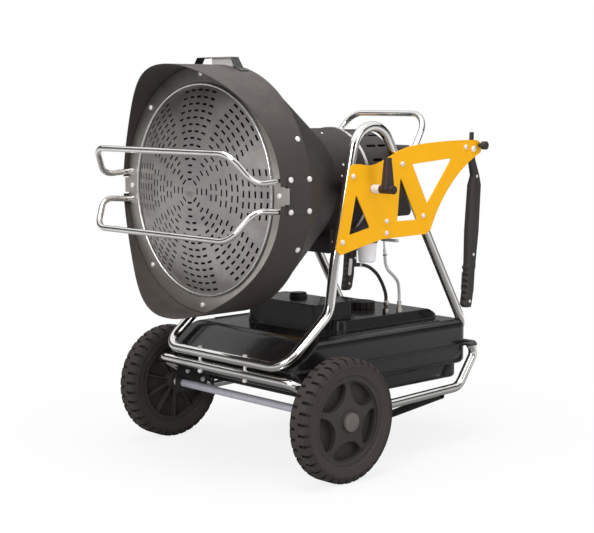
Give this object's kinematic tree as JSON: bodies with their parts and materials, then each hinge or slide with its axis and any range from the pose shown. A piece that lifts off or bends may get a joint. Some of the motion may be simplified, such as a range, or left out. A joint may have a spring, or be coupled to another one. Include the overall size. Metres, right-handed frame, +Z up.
{
  "type": "diesel infrared heater",
  "caption": "Wheeled diesel infrared heater with a perforated disc emitter in a tilting hooded head, tubular frame, moulded fuel tank, side panels and fold-down push handles.",
  "frame": {"origin": "on the floor, at the middle of the bounding box in plan", "axes": "+Z up, the emitter faces -Y, +X is the left side as seen by a person standing behind the heater and pushing it"},
  "size_m": [0.7388, 0.9066, 1.009],
  "materials": {
    "chrome": "polished chrome plate",
    "zinc": "zinc plate",
    "black_steel": "black paint",
    "black_head": "fine textured dark paint",
    "yellow_steel": "satin yellow paint",
    "tank_plastic": "gloss black moulding",
    "black_plastic": "matt black moulding",
    "rim_plastic": "matt dark moulding",
    "tyre_rubber": "matt dark rubber",
    "emitter_steel": "satin stainless",
    "bright_steel": "bright stainless",
    "filter_alloy": "cast and brushed",
    "brass": "machined",
    "hose_rubber": "matt black",
    "clear_tube": "clear grey hose",
    "rubber_foot": "matt black",
    "cap_grey": "grey moulding",
    "burner_steel": "heat-tinted steel",
    "cast_black": "black enamel"
  },
  "bodies": {
    "chassis": {"base_frame_tube": "chrome", "upper_frame_tube": "chrome", "rear_stand": "black_steel", "stand_foot": "rubber_foot", "wheel_brackets": "black_steel", "axle": "zinc", "frame_bolts": "zinc", "frame_brackets": "black_steel", "tank_lower_shell": "tank_plastic", "tank_upper_shell": "tank_plastic", "fuel_gauge": "black_plastic", "tank_fittings": "bright_steel", "side_panel_left": "yellow_steel", "side_panel_right": "yellow_steel", "panel_bolts": "zinc", "filter_head": "black_plastic", "filter_bowl": "filter_alloy", "suction_hose": "hose_rubber", "return_hose": "clear_tube", "return_pipe": "bright_steel"},
    "wheel_left": {"tyre_left": "tyre_rubber", "rim_left": "rim_plastic", "hub_cap_left": "cap_grey"},
    "wheel_right": {"tyre_right": "tyre_rubber", "rim_right": "rim_plastic", "hub_cap_right": "cap_grey"},
    "handle_left": {"handle_arm_left": "black_plastic", "handle_grip_left": "black_plastic"},
    "handle_right": {"handle_arm_right": "black_plastic", "handle_grip_right": "black_plastic"},
    "knob_left": {"tail_knob_left": "black_plastic"},
    "knob_right": {"tail_knob_right": "black_plastic"},
    "cap": {"filler_cap": "black_plastic"},
    "lever": {"clamp_lever": "black_plastic"},
    "switch": {"power_switch": "black_plastic"},
    "fan": {"fan_impeller": "filter_alloy"},
    "head": {"upper_visor": "black_head", "lower_visor": "black_head", "side_straps": "black_head", "front_flange": "emitter_steel", "emitter_dome": "emitter_steel", "bead_ring": "bright_steel", "burner_cone": "black_head", "head_bolts": "zinc", "top_bracket": "black_steel", "guard_upper": "chrome", "guard_lower": "chrome", "burner_housing": "black_head", "housing_band": "bright_steel", "fan_housing": "black_steel", "rear_console": "black_plastic", "inlet_gland": "black_plastic", "lower_box": "black_steel", "fuel_pump": "cast_black", "ignition_transformer": "black_plastic", "combustion_tube": "burner_steel", "burner_nozzle": "brass", "fan_motor": "cast_black", "loop_handle": "chrome", "pivot_arms": "black_steel"}
  },
  "joints": [
    {"name": "wheel_left_spin", "type": "hinge", "parent": "chassis", "child": "wheel_left", "pos_m": [0.3324, -0.16179, 0.15], "axis": [1, 0, 0], "continuous": true},
    {"name": "wheel_right_spin", "type": "hinge", "parent": "chassis", "child": "wheel_right", "pos_m": [-0.3324, -0.16179, 0.15], "axis": [1, 0, 0], "continuous": true},
    {"name": "head_tilt", "type": "hinge", "parent": "chassis", "child": "head", "pos_m": [0, 0.03121, 0.688], "axis": [-1, 0, 0], "range_deg": [-10, 30]},
    {"name": "clamp_turn", "type": "hinge", "parent": "head", "child": "lever", "pos_m": [0.292, 0.03121, 0.688], "axis": [1, 0, 0], "range_deg": [-60, 60]},
    {"name": "handle_left_fold", "type": "hinge", "parent": "chassis", "child": "handle_left", "pos_m": [0.226, 0.41021, 0.777], "axis": [1, 0, 0], "range_deg": [0, 100]},
    {"name": "handle_right_fold", "type": "hinge", "parent": "chassis", "child": "handle_right", "pos_m": [-0.226, 0.41021, 0.777], "axis": [1, 0, 0], "range_deg": [0, 100]},
    {"name": "knob_left_turn", "type": "hinge", "parent": "chassis", "child": "knob_left", "pos_m": [0.258, 0.43222, 0.786], "axis": [1, 0, 0], "continuous": true},
    {"name": "knob_right_turn", "type": "hinge", "parent": "chassis", "child": "knob_right", "pos_m": [-0.258, 0.43222, 0.786], "axis": [1, 0, 0], "continuous": true},
    {"name": "cap_turn", "type": "hinge", "parent": "chassis", "child": "cap", "pos_m": [0.035, 0.20722, 0.36], "axis": [0, 0, 1], "range_deg": [0, 120]},
    {"name": "switch_rock", "type": "hinge", "parent": "head", "child": "switch", "pos_m": [0.07, 0.28721, 0.64], "axis": [1, 0, 0], "range_deg": [0, 16]},
    {"name": "fan_spin", "type": "hinge", "parent": "head", "child": "fan", "pos_m": [0, 0.17822, 0.688], "axis": [0, 1, 0], "continuous": true}
  ]
}
